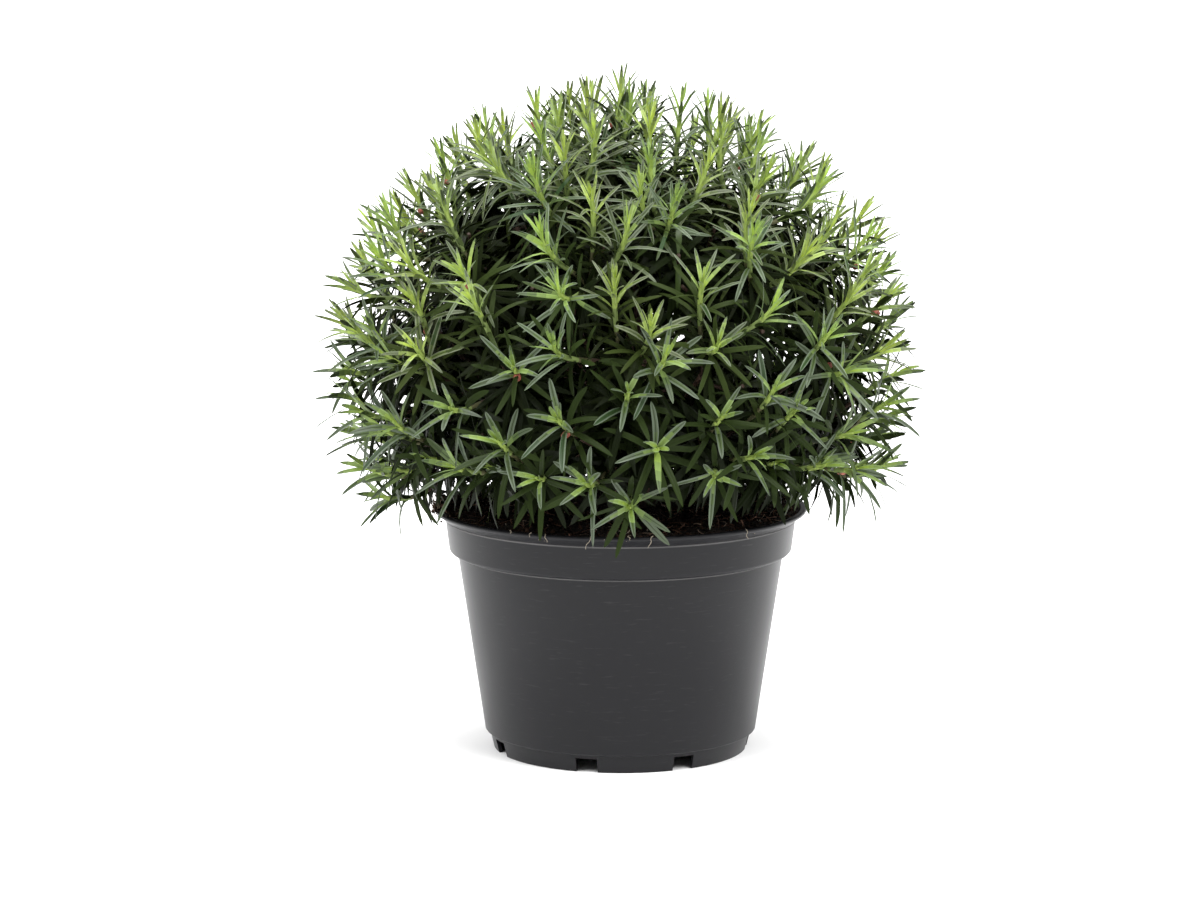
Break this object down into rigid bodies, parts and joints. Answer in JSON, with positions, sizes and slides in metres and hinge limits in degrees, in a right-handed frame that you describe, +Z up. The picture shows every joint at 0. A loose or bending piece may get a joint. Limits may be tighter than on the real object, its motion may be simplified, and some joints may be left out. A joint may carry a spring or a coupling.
{
  "type": "potted podocarpus",
  "caption": "Young dome-shaped podocarpus shrub with narrow leaves, standing in soil in a dark plastic nursery pot with a flared lip and a notched foot.",
  "frame": {"origin": "on the pot's axis at the level of the ground it stands on, the bottom centre of the whole plant's box", "axes": "+Z up along the pot's axis; the side that the picture shows faces -Y, with +X to its right"},
  "size_m": [0.3384, 0.3371, 0.3863],
  "materials": {
    "pot": "matte",
    "soil": "matte",
    "bark": "matte",
    "foliage": "satin"
  },
  "bodies": {
    "root": {"pot": "pot", "soil": "soil", "trunk": "bark", "bough_top": "bark", "bough_upper_1": "bark", "bough_upper_2": "bark", "bough_upper_3": "bark", "bough_upper_4": "bark", "bough_upper_5": "bark", "bough_lower_1": "bark", "bough_lower_2": "bark", "bough_lower_3": "bark", "bough_lower_4": "bark", "bough_lower_5": "bark", "bough_lower_6": "bark", "bough_lower_7": "bark", "bough_lower_8": "bark", "foliage_top": "foliage", "foliage_upper_1": "foliage", "foliage_upper_2": "foliage", "foliage_upper_3": "foliage", "foliage_upper_4": "foliage", "foliage_upper_5": "foliage", "foliage_lower_1": "foliage", "foliage_lower_2": "foliage", "foliage_lower_3": "foliage", "foliage_lower_4": "foliage", "foliage_lower_5": "foliage", "foliage_lower_6": "foliage", "foliage_lower_7": "foliage", "foliage_lower_8": "foliage"}
  },
  "joints": []
}
